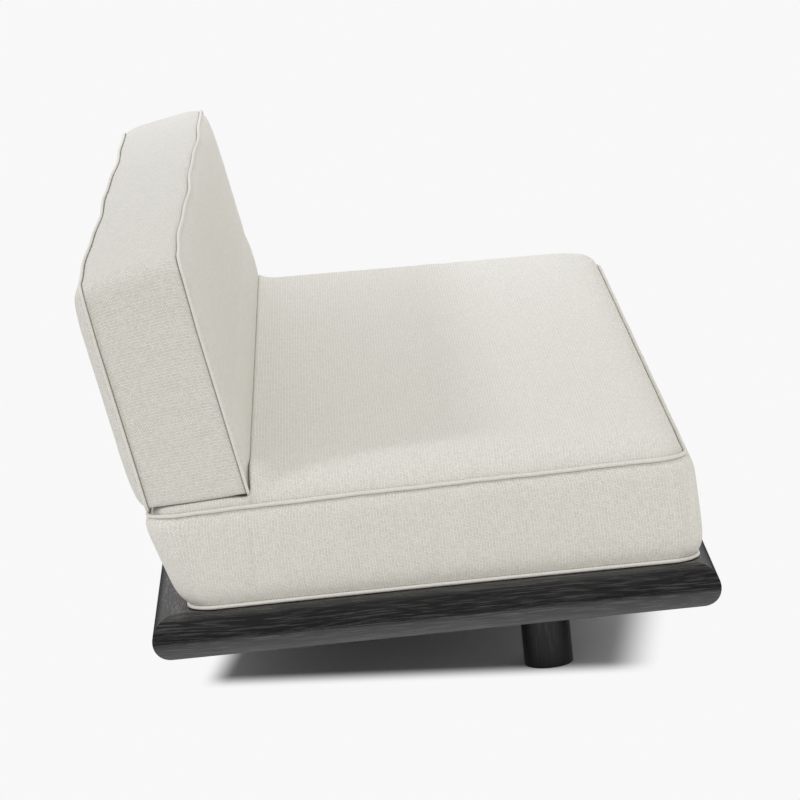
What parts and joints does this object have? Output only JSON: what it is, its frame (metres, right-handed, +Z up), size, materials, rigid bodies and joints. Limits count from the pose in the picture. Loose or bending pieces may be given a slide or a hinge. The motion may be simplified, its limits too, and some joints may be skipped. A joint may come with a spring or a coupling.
{
  "type": "platform sofa",
  "caption": "Low platform sofa: a mitred black wooden base on round legs, a bench seat cushion and a leaning back cushion in off-white woven cloth.",
  "frame": {"origin": "on the floor, under the middle of the sofa's box in plan", "axes": "+X along the sofa's length, to the right of someone facing it; -Y to the front; +Z up"},
  "size_m": [2.13, 0.9824, 0.7863],
  "materials": {
    "stained_wood": "black-stained open-grain wood, wire-brushed, matt",
    "leg_wood": "black-stained turned wood, smooth satin",
    "bare_timber": "bare planed softwood",
    "stained_plywood": "plywood stained black with the frame",
    "plywood": "sanded plywood",
    "steel": "zinc-plated steel",
    "black_steel": "black powder coat",
    "glide_plastic": "black nylon",
    "woven_cover": "off-white slubby plain weave",
    "piping_fabric": "piping cut from the cover cloth",
    "lining_fabric": "plain cotton tunnel",
    "foam": "upholstery foam with wadding",
    "zip_tape": "off-white woven tape with moulded teeth",
    "zip_metal": "nickel-plated zinc"
  },
  "bodies": {
    "base": {"front_rail": "stained_wood", "rear_rail": "stained_wood", "left_rail": "stained_wood", "right_rail": "stained_wood", "corner_blocks": "stained_wood", "left_outer_bearer": "stained_wood", "left_inner_bearer": "stained_wood", "right_inner_bearer": "stained_wood", "right_outer_bearer": "stained_wood", "front_left_leg": "leg_wood", "front_right_leg": "leg_wood", "rear_left_leg": "leg_wood", "rear_right_leg": "leg_wood", "mitre_splines": "bare_timber", "deck_panel": "stained_plywood", "deck_screws": "steel", "leg_plates": "steel", "plate_screws": "steel", "hanger_bolts": "steel", "socket_screws": "steel", "post_sockets": "black_steel", "glides": "glide_plastic"},
    "seat_cushion": {"seat_foam": "foam", "seat_cover": "woven_cover", "seat_top_piping": "piping_fabric", "seat_bottom_piping": "piping_fabric", "seat_zip": "zip_tape", "seat_slot_linings": "lining_fabric"},
    "backrest": {"back_front_foam": "foam", "back_rear_foam": "foam", "back_cover": "woven_cover", "back_front_piping": "piping_fabric", "back_rear_piping": "piping_fabric", "back_zip": "zip_tape", "back_top_rail": "bare_timber", "back_bottom_rail": "bare_timber", "back_left_stile": "bare_timber", "back_middle_stile": "bare_timber", "back_right_stile": "bare_timber", "back_panel": "plywood", "left_post": "black_steel", "right_post": "black_steel", "post_bolts": "steel", "post_nuts": "steel"},
    "seat_slider": {"seat_zip_slider": "zip_metal"},
    "seat_pull": {"seat_zip_pull": "zip_metal"},
    "back_slider": {"back_zip_slider": "zip_metal"},
    "back_pull": {"back_zip_pull": "zip_metal"}
  },
  "joints": [
    {"name": "seat_lift", "type": "slide", "parent": "base", "child": "seat_cushion", "axis": [0, 0, 1], "range_m": [0, 0.25]},
    {"name": "back_lift", "type": "slide", "parent": "seat_cushion", "child": "backrest", "axis": [0, 0, 1], "range_m": [0, 0.3]},
    {"name": "seat_zip_run", "type": "slide", "parent": "seat_cushion", "child": "seat_slider", "axis": [-1, 0, 0], "range_m": [0, 1.7713]},
    {"name": "seat_pull_swing", "type": "hinge", "parent": "seat_slider", "child": "seat_pull", "pos_m": [0.88565, 0.41064, 0.28496], "axis": [1, 0, 0], "range_deg": [0, 150]},
    {"name": "back_zip_run", "type": "slide", "parent": "backrest", "child": "back_slider", "axis": [-1, 0, 0], "range_m": [0, 1.7633]},
    {"name": "back_pull_swing", "type": "hinge", "parent": "back_slider", "child": "back_pull", "pos_m": [0.88165, 0.4401, 0.4065], "axis": [1, 0, 0], "range_deg": [0, 150]}
  ]
}
